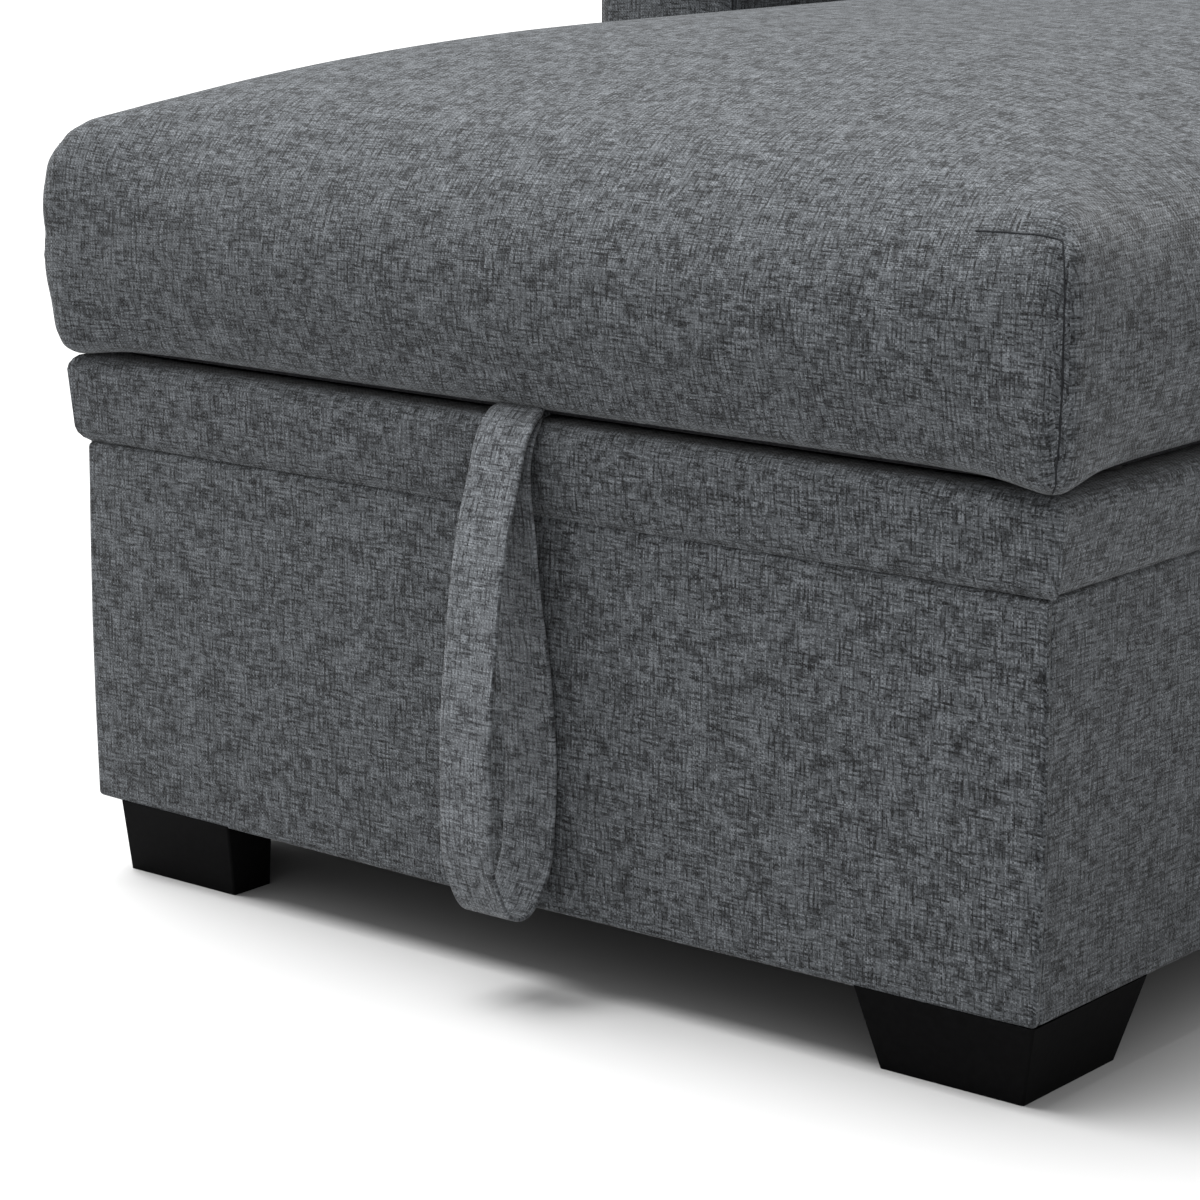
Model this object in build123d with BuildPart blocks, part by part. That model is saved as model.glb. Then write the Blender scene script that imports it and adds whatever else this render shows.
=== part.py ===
"""Storage chaise longue: box base, lift-up seat on hinges and gas struts, one arm, back and back cushion.

Millimetres, +Z up, the foot end faces -Y, origin on the floor under the middle of the bounding box.
"""
import os
from math import cos, radians, sin, tan

from build123d import *

os.makedirs("parts", exist_ok=True)

# Base
base_width = 682.0
base_length = 1296.0
foot_height = 48.0
base_top = 270.0
rim_top = 323.0
panel = 18.0
padding = 6.0
band_side = 11.0
band_front = 3.0
band_lip = 9.0
band_round = 8.0
cloth = 1.2
block = 50.0
floor_board = 9.0
cleat = 18.0

# Feet
foot_width = 112.0
foot_blunt = 38.0
foot_tuck = 20.0
foot_inset = 13.5
foot_taper = 0.8
foot_axis = 50.0
foot_edge = 1.5
bolt = 8.0
hole_play = 0.6
bolt_rise = 80.0

# Lid and seat cushion
lid_gap = 6.0
lid_board_thick = 12.0
seat_side = 16.0
seat_front = 14.0
seat_wrap = 18.0
seat_rise = 92.0
seat_roll = 52.0
crown_rise = 48.0
crown_share = 0.7
seat_corner = 8.0
corner_growth = 0.2
draw_in = 12.0
batten = 18.0
lining_front = 60.0

# Hinges and gas struts
hinge_inset = 10.0
hinge_setback = 20.0
hinge_spread = 220.0
leaf_width = 76.0
leaf_thick = 2.0
leaf_long = 58.0
leaf_short = 44.0
knuckle = 4.5
pin_radius = 2.5
pin_play = 0.05
stud_back = 150.0
stud_drop = 215.0
lid_stud_back = 295.0
lid_stud_drop = 14.0
strut_offset = 17.0
stud_radius = 5.0
tube_radius = 9.0
tube_length = 200.0
tube_bore = 7.5
rod_radius = 4.0
slide_play = 0.3
eye_radius = 11.0
eye_width = 11.0
open_play = 3.6

# Pull strap
strap_width = 26.0
strap_thick = 3.0
strap_reach = 52.0
strap_bottom = 49.0
strap_tail_length = 78.0
strap_x = 1.0

# Arm and back
arm_width = 130.0
arm_gap = 4.0
arm_front = 674.0
arm_length = 790.0
arm_top = 620.0
upholstery = 12.0
soft_round = 13.0
post = 40.0
back_top = 850.0
back_low = 104.0
back_thick = 75.0
back_clear = 45.0
rake = 10.0
pillow_width = 676.0
pillow_height = 440.0
pillow_thick = 176.0
pillow_lift = 143.0
pillow_edge = 24.0
pillow_share = 0.3
pillow_corner = 40.0

# Positions worked out from the sizes above
half = base_width / 2
mid_x = (arm_gap + arm_width) / 2
lid_z = rim_top + lid_gap
axis_z = lid_z - knuckle
lean = tan(radians(rake))
back_run = (back_top - lid_z) * lean
depth = base_length - hinge_inset + back_clear + back_run + back_thick
front_y = (strap_reach - depth) / 2
rear_y = front_y + base_length
axis_y = rear_y - hinge_inset
panel_z = foot_height + cloth
panel_top = rim_top - band_lip
rear_top = axis_z - knuckle
inner = half - padding - panel
inner_front = front_y + padding + panel
inner_rear = rear_y - panel
floor_z = panel_z + cleat
seat_half = half + seat_side
seat_start = front_y - seat_front
seat_end = axis_y - hinge_setback
seat_middle = (seat_start + seat_end) / 2
seat_length = seat_end - seat_start
arm_inner = mid_x - seat_half - arm_gap
back_left = arm_inner
back_right = mid_x + half + band_side
stud_y = axis_y - stud_back
stud_z = axis_z - stud_drop
lid_stud_y = axis_y - lid_stud_back
lid_stud_z = axis_z - lid_stud_drop
strut_x = inner - strut_offset
foot_left = mid_x - half
foot_right = mid_x + half
wrap_x = seat_half - seat_wrap
crown_run = crown_share * seat_half
pillow_run = pillow_share * pillow_height

strut_dir = Vector(0, lid_stud_y - stud_y, lid_stud_z - stud_z)
strut_length = strut_dir.length
strut_dir = strut_dir.normalized()

foot_names = ("front_left", "front_right", "rear_left", "rear_right")
foot_corners = [
    (foot_left, front_y, 1, 1),
    (foot_right, front_y, -1, 1),
    (foot_left, rear_y, 1, -1),
    (foot_right, rear_y, -1, -1),
]
bolt_points = [(x + sx * foot_axis, y + sy * foot_axis) for x, y, sx, sy in foot_corners]
back_shape = [
    (rear_y, foot_height),
    (rear_y, rear_top),
    (axis_y + back_clear, rear_top),
    (axis_y + back_clear + back_run, back_top),
    (axis_y + back_clear + back_run + back_thick, back_top),
    (rear_y + back_low, lid_z),
    (rear_y + back_low, foot_height),
]


def slab(x0, x1, y0, y1, z0, z1, mode=Mode.ADD):
    """A board between two corners."""
    with Locations(((x0 + x1) / 2, (y0 + y1) / 2, (z0 + z1) / 2)):
        Box(x1 - x0, y1 - y0, z1 - z0, mode=mode)


def across(x, y, z, radius, length, mode=Mode.ADD):
    """A round bar along X, centred on x."""
    with Locations(Location((x, y, z), (0, 90, 0))):
        Cylinder(radius, length, mode=mode)


def upright(points, z0, z1, radius, mode=Mode.ADD):
    """Round bars standing at the given points."""
    with Locations(*[(x, y, (z0 + z1) / 2) for x, y in points]):
        Cylinder(radius, z1 - z0, mode=mode)


def outline(scale, inset, tuck, corner):
    """The foot's plan, inner corner cut off, laid in from one corner of the base."""
    x, y, sx, sy = corner
    shape = [
        (tuck, 0),
        (foot_width, 0),
        (foot_width, foot_blunt),
        (foot_blunt, foot_width),
        (tuck, foot_width),
    ]
    points = [(x + sx * (inset + px * scale), y + sy * (inset + py * scale)) for px, py in shape]
    Polygon(*points, align=None)


def soft_rectangle(width, length, inset, corner):
    """A cushion's plan at one level, drawn in by inset, its corners rounder the further in it is."""
    width -= 2 * inset
    length -= 2 * inset
    RectangleRounded(width, length, min(corner + corner_growth * inset, 0.45 * width, 0.45 * length))


# Box base: four panels, glue blocks in the corners, a floor board on cleats
with BuildPart() as front_panel:
    slab(mid_x - half + padding, mid_x + half - padding, front_y + padding, inner_front, panel_z, panel_top)
front_panel.part.label = "front_panel"
export_step(front_panel.part, "parts/front_panel.step")

with BuildPart() as rear_panel:
    slab(mid_x - half + padding, mid_x + half - padding, inner_rear, rear_y, panel_z, rear_top)
rear_panel.part.label = "rear_panel"
export_step(rear_panel.part, "parts/rear_panel.step")

arm_bolt_points = [(front_y + arm_front + post * 2.4, 180.0), (rear_y - post * 2.6, 180.0)]

with BuildPart() as left_panel:
    slab(mid_x - half + padding, mid_x - inner, inner_front, inner_rear, panel_z, panel_top)
    for y, z in arm_bolt_points:
        across(mid_x - half + padding, y, z, (bolt + hole_play) / 2, 3 * panel, Mode.SUBTRACT)
left_panel.part.label = "left_panel"
export_step(left_panel.part, "parts/left_panel.step")

with BuildPart() as right_panel:
    slab(mid_x + inner, mid_x + half - padding, inner_front, inner_rear, panel_z, panel_top)
right_panel.part.label = "right_panel"
export_step(right_panel.part, "parts/right_panel.step")

with BuildPart() as corner_blocks:
    for side in (-1, 1):
        x = mid_x + side * (inner - block / 2)
        slab(x - block / 2, x + block / 2, inner_front, inner_front + block, panel_z, panel_top - block)
        slab(x - block / 2, x + block / 2, inner_rear - block, inner_rear, panel_z, panel_top - block)
    upright(bolt_points, panel_z, panel_z + bolt_rise, (bolt + hole_play) / 2, Mode.SUBTRACT)
corner_blocks.part.label = "corner_blocks"
export_step(corner_blocks.part, "parts/corner_blocks.step")

with BuildPart() as floor_cleats:
    for side in (-1, 1):
        x = mid_x + side * (inner - cleat / 2)
        slab(x - cleat / 2, x + cleat / 2, inner_front + block, inner_rear - block, panel_z, floor_z)
    slab(mid_x - inner + cleat, mid_x + inner - cleat, -block / 2, block / 2, panel_z, floor_z)
floor_cleats.part.label = "floor_cleats"
export_step(floor_cleats.part, "parts/floor_cleats.step")

with BuildPart() as storage_floor:
    slab(mid_x - inner, mid_x + inner, inner_front, inner_rear, floor_z, floor_z + floor_board)
    for side in (-1, 1):
        x = mid_x + side * (inner - block / 2)
        for y in (inner_front + block / 2, inner_rear - block / 2):
            with Locations((x, y, floor_z + floor_board / 2)):
                Box(block, block, floor_board, mode=Mode.SUBTRACT)
storage_floor.part.label = "storage_floor"
export_step(storage_floor.part, "parts/storage_floor.step")

with BuildPart() as hinge_rail:
    slab(mid_x - inner, mid_x + inner, inner_rear - leaf_short, inner_rear, rear_top - 2 * cleat, rear_top)
hinge_rail.part.label = "hinge_rail"
export_step(hinge_rail.part, "parts/hinge_rail.step")

with BuildPart() as storage_lining:
    top = panel_top - 2 * cleat
    low = floor_z + floor_board
    slab(mid_x - inner + block, mid_x + inner - block, inner_front, inner_front + cloth, low, top)
    for side in (-1, 1):
        x = mid_x + side * (inner - cloth / 2)
        slab(x - cloth / 2, x + cloth / 2, inner_front + block, stud_y - block, low, top)
    for y, z in arm_bolt_points:
        across(mid_x - inner, y, z, bolt + hole_play, panel, Mode.SUBTRACT)
storage_lining.part.label = "storage_lining"
export_step(storage_lining.part, "parts/storage_lining.step")

with BuildPart() as dust_cover:
    slab(mid_x - half + padding, mid_x + half - padding, front_y + padding, rear_y, foot_height, panel_z)
    upright(bolt_points, foot_height - 1, panel_z + 1, (bolt + hole_play) / 2, Mode.SUBTRACT)
dust_cover.part.label = "dust_cover"
export_step(dust_cover.part, "parts/dust_cover.step")

# Padded cloth over the base: front and two sides, sewn at the corners
with BuildPart() as front_cover:
    slab(mid_x - half, mid_x + half, front_y, front_y + padding, foot_height, base_top)
    fillet(front_cover.edges().filter_by(Axis.Z).group_by(Axis.Y)[0], padding * 0.8)
front_cover.part.label = "front_cover"
export_step(front_cover.part, "parts/front_cover.step")

with BuildPart() as left_cover:
    slab(mid_x - half, mid_x - half + padding, front_y + padding, rear_y, foot_height, base_top)
    for y, z in arm_bolt_points:
        across(mid_x - half + padding, y, z, (bolt + hole_play) / 2, 3 * panel, Mode.SUBTRACT)
left_cover.part.label = "left_cover"
export_step(left_cover.part, "parts/left_cover.step")

with BuildPart() as right_cover:
    slab(mid_x + half - padding, mid_x + half, front_y + padding, rear_y, foot_height, base_top)
right_cover.part.label = "right_cover"
export_step(right_cover.part, "parts/right_cover.step")

# Rim band: a padded roll round the top of the box, mitred at the front corners
with BuildPart() as front_band:
    with BuildSketch(Plane.XY.offset(base_top)):
        Polygon(
            (mid_x - half - band_side, front_y - band_front),
            (mid_x + half + band_side, front_y - band_front),
            (mid_x + inner, inner_front),
            (mid_x - inner, inner_front),
            align=None,
        )
    extrude(amount=rim_top - base_top)
    slab(
        mid_x - half + padding, mid_x + half - padding,
        front_y + padding, inner_front, base_top, panel_top, Mode.SUBTRACT,
    )
    fillet(front_band.edges().filter_by(Axis.X).group_by(Axis.Y)[0], band_round)
front_band.part.label = "front_band"
export_step(front_band.part, "parts/front_band.step")

with BuildPart() as right_band:
    with BuildSketch(Plane.XY.offset(base_top)):
        Polygon(
            (mid_x + half + band_side, front_y - band_front),
            (mid_x + half + band_side, rear_y),
            (mid_x + inner, rear_y),
            (mid_x + inner, inner_front),
            align=None,
        )
    extrude(amount=rim_top - base_top)
    slab(mid_x, mid_x + half - padding, front_y + padding, rear_y, base_top, panel_top, Mode.SUBTRACT)
    slab(mid_x, mid_x + half - padding, inner_rear, rear_y, base_top, rim_top, Mode.SUBTRACT)
    fillet(right_band.edges().filter_by(Axis.Y).group_by(Axis.X)[-1], band_round)
right_band.part.label = "right_band"
export_step(right_band.part, "parts/right_band.step")

with BuildPart() as left_band:
    with BuildSketch(Plane.XY.offset(base_top)):
        Polygon(
            (mid_x - half - band_side, front_y - band_front),
            (mid_x - half - band_side, rear_y),
            (mid_x - inner, rear_y),
            (mid_x - inner, inner_front),
            align=None,
        )
    extrude(amount=rim_top - base_top)
    slab(mid_x - half + padding, mid_x, front_y + padding, rear_y, base_top, panel_top, Mode.SUBTRACT)
    slab(mid_x - half + padding, mid_x, inner_rear, rear_y, base_top, rim_top, Mode.SUBTRACT)
    fillet(left_band.edges().filter_by(Axis.Y).group_by(Axis.X)[0], band_round)
left_band.part.label = "left_band"
export_step(left_band.part, "parts/left_band.step")

# Feet: tapered, inner corner cut off, each on a hanger bolt; the left ones are cut back beside the arm
for name, corner, point in zip(foot_names, foot_corners, bolt_points):
    with BuildPart() as foot:
        with BuildSketch(Plane.XY.offset(foot_height)):
            outline(1.0, 0, foot_tuck if name.endswith("left") else 0, corner)
        with BuildSketch(Plane.XY):
            outline(foot_taper, foot_inset, 0, corner)
        loft(ruled=True)
        fillet(foot.edges().filter_by(lambda edge: edge.bounding_box().size.Z > foot_height / 2), foot_edge)
        upright([point], foot_height / 3, foot_height + 1, (bolt + hole_play) / 2, Mode.SUBTRACT)
    foot.part.label = f"foot_{name}"
    export_step(foot.part, f"parts/foot_{name}.step")

with BuildPart() as foot_bolts:
    upright(bolt_points, foot_height / 3, panel_z + bolt_rise, bolt / 2)
foot_bolts.part.label = "foot_bolts"
export_step(foot_bolts.part, "parts/foot_bolts.step")

# Butt hinges: base leaf with two knuckles, lid leaf with the middle one, a pin through all three
for name, side in (("left", -1), ("right", 1)):
    hinge_x = mid_x + side * hinge_spread
    third = leaf_width / 3
    finger = third / 2 - 0.3
    clear = knuckle + 1.0
    with BuildPart() as hinge_base_leaf:
        slab(
            hinge_x - leaf_width / 2, hinge_x + leaf_width / 2,
            axis_y - leaf_short, axis_y - clear, rear_top, rear_top + leaf_thick,
        )
        for end in (-1, 1):
            x = hinge_x + end * third
            slab(x - finger, x + finger, axis_y - clear, axis_y, rear_top, rear_top + leaf_thick)
            across(x, axis_y, axis_z, knuckle, 2 * finger)
        across(hinge_x, axis_y, axis_z, pin_radius, 2 * leaf_width, Mode.SUBTRACT)
    hinge_base_leaf.part.label = f"hinge_base_leaf_{name}"
    export_step(hinge_base_leaf.part, f"parts/hinge_base_leaf_{name}.step")

    with BuildPart() as hinge_lid_leaf:
        slab(
            hinge_x - leaf_width / 2, hinge_x + leaf_width / 2,
            axis_y - leaf_long, axis_y - clear, lid_z - leaf_thick, lid_z,
        )
        slab(hinge_x - finger, hinge_x + finger, axis_y - clear, axis_y, lid_z - leaf_thick, lid_z)
        across(hinge_x, axis_y, axis_z, knuckle, 2 * finger)
        across(hinge_x, axis_y, axis_z, pin_radius + pin_play, 2 * leaf_width, Mode.SUBTRACT)
    hinge_lid_leaf.part.label = f"hinge_lid_leaf_{name}"
    export_step(hinge_lid_leaf.part, f"parts/hinge_lid_leaf_{name}.step")

    with BuildPart() as hinge_pin:
        across(hinge_x, axis_y, axis_z, pin_radius, leaf_width)
    hinge_pin.part.label = f"hinge_pin_{name}"
    export_step(hinge_pin.part, f"parts/hinge_pin_{name}.step")

    # Gas strut of the same side: bracket on the side panel, tube, rod, bracket under the lid
    strut_mid = mid_x + side * strut_x
    wall = mid_x + side * inner
    plate = 3.0
    with BuildPart() as strut_base_bracket:
        x = wall - side * plate / 2
        slab(x - plate / 2, x + plate / 2, stud_y - 24, stud_y + 24, stud_z - 24, stud_z + 24)
        reach = strut_offset + eye_width / 2
        across(wall - side * reach / 2, stud_y, stud_z, stud_radius, reach)
        across(wall - side * (reach + 1.5), stud_y, stud_z, stud_radius + 2, 3.0)
    strut_base_bracket.part.label = f"strut_base_bracket_{name}"
    export_step(strut_base_bracket.part, f"parts/strut_base_bracket_{name}.step")

    along = Plane(origin=(strut_mid, stud_y, stud_z), x_dir=(1, 0, 0), z_dir=strut_dir)
    with BuildPart() as strut_tube:
        across(strut_mid, stud_y, stud_z, eye_radius, eye_width - 1)
        with BuildSketch(along.offset(eye_radius - 2)):
            Circle(tube_radius)
        extrude(amount=tube_length - eye_radius + 2)
        with BuildSketch(along.offset(eye_radius + 4)):
            Circle(tube_bore)
        extrude(amount=tube_length - eye_radius - 14, mode=Mode.SUBTRACT)
        with BuildSketch(along.offset(eye_radius + 4)):
            Circle(rod_radius + slide_play)
        extrude(amount=tube_length, mode=Mode.SUBTRACT)
        across(strut_mid, stud_y, stud_z, stud_radius + pin_play, 3 * eye_width, Mode.SUBTRACT)
    strut_tube.part.label = f"strut_tube_{name}"
    export_step(strut_tube.part, f"parts/strut_tube_{name}.step")

    with BuildPart() as strut_rod:
        with BuildSketch(along.offset(eye_radius + 12)):
            Circle(tube_bore - slide_play)
        extrude(amount=8)
        with BuildSketch(along.offset(eye_radius + 12)):
            Circle(rod_radius)
        extrude(amount=strut_length - 2 * eye_radius - 10)
        across(strut_mid, lid_stud_y, lid_stud_z, eye_radius, eye_width - 1)
        across(strut_mid, lid_stud_y, lid_stud_z, rod_radius + open_play, 3 * eye_width, Mode.SUBTRACT)
    strut_rod.part.label = f"strut_rod_{name}"
    export_step(strut_rod.part, f"parts/strut_rod_{name}.step")

    with BuildPart() as strut_lid_bracket:
        x = strut_mid + side * (eye_width / 2 + 1.5 + plate / 2)
        low = lid_stud_z - 10
        slab(x - plate / 2, x + plate / 2, lid_stud_y - 22, lid_stud_y + 22, low, lid_z - cloth)
        foot = x - side * 14
        slab(foot - 14, foot + 14, lid_stud_y - 22, lid_stud_y + 22, lid_z - cloth - plate, lid_z - cloth)
        stud = eye_width + 5
        across(x - side * stud / 2, lid_stud_y, lid_stud_z, rod_radius, stud)
    strut_lid_bracket.part.label = f"strut_lid_bracket_{name}"
    export_step(strut_lid_bracket.part, f"parts/strut_lid_bracket_{name}.step")

# Lid: board, lining cloth, battens, rubber buffers
with BuildPart() as lid_board:
    slab(
        mid_x - wrap_x, mid_x + wrap_x,
        seat_start + seat_wrap, seat_end - seat_wrap / 2, lid_z, lid_z + lid_board_thick,
    )
lid_board.part.label = "lid_board"
export_step(lid_board.part, "parts/lid_board.step")

with BuildPart() as lid_lining:
    lining_half = strut_x + eye_width
    slab(
        mid_x - lining_half, mid_x + lining_half,
        inner_front + lining_front, axis_y - leaf_long - 4, lid_z - cloth, lid_z,
    )
lid_lining.part.label = "lid_lining"
export_step(lid_lining.part, "parts/lid_lining.step")

with BuildPart() as lid_battens:
    for y in (front_y + base_length * 0.2, front_y + base_length * 0.48):
        slab(mid_x - inner * 0.9, mid_x + inner * 0.9, y - 22, y + 22, lid_z - cloth - batten, lid_z - cloth)
lid_battens.part.label = "lid_battens"
export_step(lid_battens.part, "parts/lid_battens.step")

with BuildPart() as lid_buffers:
    spots = [
        (mid_x + side * (inner + panel / 2), front_y + base_length * share)
        for side in (-1, 1)
        for share in (0.06, 0.5, 0.9)
    ]
    upright(spots, rim_top, lid_z, 8.0)
lid_buffers.part.label = "lid_buffers"
export_step(lid_buffers.part, "parts/lid_buffers.step")

# Seat cushion: sides drawn in at the foot, a rolled top edge, then a long crown
edge_turn = radians(65)
side_levels = [
    (0.0, draw_in),
    (seat_rise * 0.3, draw_in * 0.15),
    (seat_rise * 0.9, 0.0),
    (seat_rise + seat_roll * sin(edge_turn / 2), seat_roll * (1 - cos(edge_turn / 2))),
    (seat_rise + seat_roll * sin(edge_turn), seat_roll * (1 - cos(edge_turn))),
]
edge_rise, edge_inset = side_levels[-1]
crown_shares = (0.0, 0.33, 0.67, 1.0)
crown_levels = [
    (edge_rise + crown_rise * (1 - (1 - share) ** 2), edge_inset + crown_run * share)
    for share in crown_shares
]
with BuildPart() as seat_cushion:
    for rise, inset in side_levels:
        with BuildSketch(Plane.XY.offset(lid_z + rise)):
            with Locations((mid_x, seat_middle)):
                soft_rectangle(2 * seat_half, seat_length, inset, seat_corner)
    loft()
    for rise, inset in crown_levels:
        with BuildSketch(Plane.XY.offset(lid_z + rise)):
            with Locations((mid_x, seat_middle)):
                soft_rectangle(2 * seat_half, seat_length, inset, seat_corner)
    loft()
    slab(
        mid_x - wrap_x, mid_x + wrap_x,
        seat_start + seat_wrap, seat_end - seat_wrap / 2, lid_z - 1, lid_z + lid_board_thick, Mode.SUBTRACT,
    )
seat_cushion.part.label = "seat_cushion"
export_step(seat_cushion.part, "parts/seat_cushion.step")

# Pull strap: a doubled strip clamped under the lid, and its hanging loop
strap_mid = mid_x + strap_x
hang_y = front_y - band_front - strap_thick - 1.0
hang_z = lid_z - strap_thick
with BuildPart() as strap_tail:
    slab(
        strap_mid - strap_width / 2, strap_mid + strap_width / 2,
        hang_y + strap_thick, hang_y + strap_tail_length, lid_z - 1.7 * strap_thick, lid_z,
    )
strap_tail.part.label = "strap_tail"
export_step(strap_tail.part, "parts/strap_tail.step")

with BuildPart() as strap_clamp:
    clamp_y = inner_front + 14
    slab(
        strap_mid - strap_width, strap_mid + strap_width,
        clamp_y - 10, clamp_y + 10, lid_z - 1.7 * strap_thick - 2, lid_z - 1.7 * strap_thick,
    )
    for end in (-1, 1):
        x = strap_mid + end * strap_width * 0.8
        upright([(x, clamp_y)], lid_z - 1.7 * strap_thick, lid_z, 4.0)
strap_clamp.part.label = "strap_clamp"
export_step(strap_clamp.part, "parts/strap_clamp.step")

with BuildPart() as pull_strap:
    bow = strap_reach - band_front - 2.0
    fall = hang_z - strap_bottom
    with BuildSketch(Plane.YZ.offset(strap_mid - strap_width / 2)):
        with BuildLine():
            top = (hang_y, hang_z)
            knee = (front_y - strap_reach, strap_bottom + fall * 0.30)
            sole = (front_y - strap_reach + bow * 0.46, strap_bottom)
            heel = (hang_y, strap_bottom + fall * 0.12)
            ThreePointArc(top, (front_y - strap_reach * 0.66, strap_bottom + fall * 0.66), knee)
            ThreePointArc(knee, (front_y - strap_reach + bow * 0.13, strap_bottom + fall * 0.08), sole)
            ThreePointArc(sole, (hang_y - bow * 0.14, strap_bottom + fall * 0.035), heel)
            Line(heel, top)
        make_face()
        offset(amount=-strap_thick, kind=Kind.INTERSECTION, mode=Mode.SUBTRACT)
    extrude(amount=strap_width)
    across(strap_mid, hang_y, hang_z, strap_thick * 0.9, strap_width)
pull_strap.part.label = "pull_strap"
export_step(pull_strap.part, "parts/pull_strap.step")

# Arm: timber frame in a padded cover, bolted to the left side through spacers
arm_x = arm_inner - arm_width
arm_y = front_y + arm_front
with BuildPart() as arm_cover:
    slab(arm_x, arm_inner, arm_y, arm_y + arm_length, foot_height, arm_top)
    fillet(arm_cover.edges(), soft_round)
    slab(
        arm_x + upholstery, arm_inner - upholstery, arm_y + upholstery, arm_y + arm_length - upholstery,
        foot_height + upholstery, arm_top - upholstery, Mode.SUBTRACT,
    )
    for y, z in arm_bolt_points:
        across(arm_inner, y, z, (bolt + hole_play) / 2, 3 * upholstery, Mode.SUBTRACT)
arm_cover.part.label = "arm_cover"
export_step(arm_cover.part, "parts/arm_cover.step")

with BuildPart() as arm_frame:
    left = arm_x + upholstery
    right = arm_inner - upholstery
    near = arm_y + upholstery
    far = arm_y + arm_length - upholstery
    low = foot_height + upholstery
    high = arm_top - upholstery
    slab(left, right, near, near + post, low, high)
    slab(left, right, far - post, far, low, high)
    slab(left, right, near + post, far - post, low, low + 2 * post)
    slab(left, right, near + post, far - post, high - post, high)
    slab(right - panel, right, near + post, far - post, low + 2 * post, high - post)
    for y, z in arm_bolt_points:
        across(right - panel, y, z, (bolt + hole_play) / 2, 2 * panel + 2, Mode.SUBTRACT)
arm_frame.part.label = "arm_frame"
export_step(arm_frame.part, "parts/arm_frame.step")

with BuildPart() as arm_spacers:
    for y, z in arm_bolt_points:
        slab(arm_inner, mid_x - half, y - post / 1.3, y + post / 1.3, z - post / 1.3, z + post / 1.3)
        across(arm_inner, y, z, (bolt + hole_play) / 2, 4 * panel, Mode.SUBTRACT)
arm_spacers.part.label = "arm_spacers"
export_step(arm_spacers.part, "parts/arm_spacers.step")

with BuildPart() as arm_bolts:
    inside = mid_x - inner
    outside = arm_inner - upholstery - panel - 6
    for y, z in arm_bolt_points:
        across((inside + outside) / 2, y, z, bolt / 2, inside - outside)
        across(inside + 2.5, y, z, bolt, 5)
arm_bolts.part.label = "arm_bolts"
export_step(arm_bolts.part, "parts/arm_bolts.step")

with BuildPart() as arm_feet:
    for y in (arm_y + 20, arm_y + arm_length - 20 - arm_width * 0.7):
        with BuildSketch(Plane.XY.offset(foot_height)):
            with Locations(((arm_x + arm_inner) / 2, y + arm_width * 0.35)):
                Rectangle(arm_width * 0.7, arm_width * 0.7)
        with BuildSketch(Plane.XY):
            with Locations(((arm_x + arm_inner) / 2, y + arm_width * 0.35)):
                Rectangle(arm_width * 0.7 * foot_taper, arm_width * 0.7 * foot_taper)
        loft(ruled=True)
arm_feet.part.label = "arm_feet"
export_step(arm_feet.part, "parts/arm_feet.step")

# Back: raked timber frame in a padded cover, standing behind the rear panel
with BuildPart() as back_cover:
    with BuildSketch(Plane.YZ.offset(back_left)):
        Polygon(*back_shape, align=None)
    extrude(amount=back_right - back_left)
    fillet(back_cover.edges().filter_by(Axis.X).group_by(Axis.Z)[-1], soft_round)
    with BuildSketch(Plane.YZ.offset(back_left + upholstery)):
        Polygon(*back_shape, align=None)
        offset(amount=-upholstery, kind=Kind.INTERSECTION, mode=Mode.REPLACE)
    extrude(amount=back_right - back_left - 2 * upholstery, mode=Mode.SUBTRACT)
back_cover.part.label = "back_cover"
export_step(back_cover.part, "parts/back_cover.step")

with BuildPart() as back_frame:
    for x in (back_left + upholstery, mid_x - post / 2, back_right - upholstery - post):
        with BuildSketch(Plane.YZ.offset(x)):
            Polygon(*back_shape, align=None)
            offset(amount=-upholstery, kind=Kind.INTERSECTION, mode=Mode.REPLACE)
        extrude(amount=post)
    far = rear_y + back_low - upholstery
    for z in (foot_height + upholstery, rear_top - upholstery - 2 * post):
        slab(back_left + upholstery, back_right - upholstery, far - post, far, z, z + 2 * post)
back_frame.part.label = "back_frame"
export_step(back_frame.part, "parts/back_frame.step")

# Loose back cushion: a drawn-in edge, then a crown, leaning on the back and standing on the seat
pillow_z = lid_z + seat_rise + seat_roll + crown_rise + pillow_lift * cos(radians(rake))
pillow_y = axis_y + back_clear + (pillow_z - lid_z) * lean
rest = Plane(
    origin=(mid_x, pillow_y, pillow_z),
    x_dir=(1, 0, 0),
    z_dir=(0, -cos(radians(rake)), sin(radians(rake))),
)
widest = 0.45
shoulder = 0.7
pillow_levels = [
    (pillow_thick * share, pillow_edge * (share / widest - 1) ** 2) for share in (0.0, 0.2, widest, shoulder)
]
shoulder_rise, shoulder_inset = pillow_levels[-1]
pillow_crown = [
    (
        shoulder_rise + pillow_thick * (1 - shoulder) * (1 - (1 - share) ** 2),
        shoulder_inset + pillow_run * share,
    )
    for share in crown_shares
]
with BuildPart() as back_cushion:
    for rise, inset in pillow_levels:
        with BuildSketch(rest.offset(rise)):
            soft_rectangle(pillow_width, pillow_height, inset, pillow_corner)
    loft()
    for rise, inset in pillow_crown:
        with BuildSketch(rest.offset(rise)):
            soft_rectangle(pillow_width, pillow_height, inset, pillow_corner)
    loft()
back_cushion.part.label = "back_cushion"
export_step(back_cushion.part, "parts/back_cushion.step")
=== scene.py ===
from math import cos, pi, radians, sin, tan

import bmesh
import bpy
from mathutils import Matrix, Vector, geometry, noise
from mathutils.bvhtree import BVHTree


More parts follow.
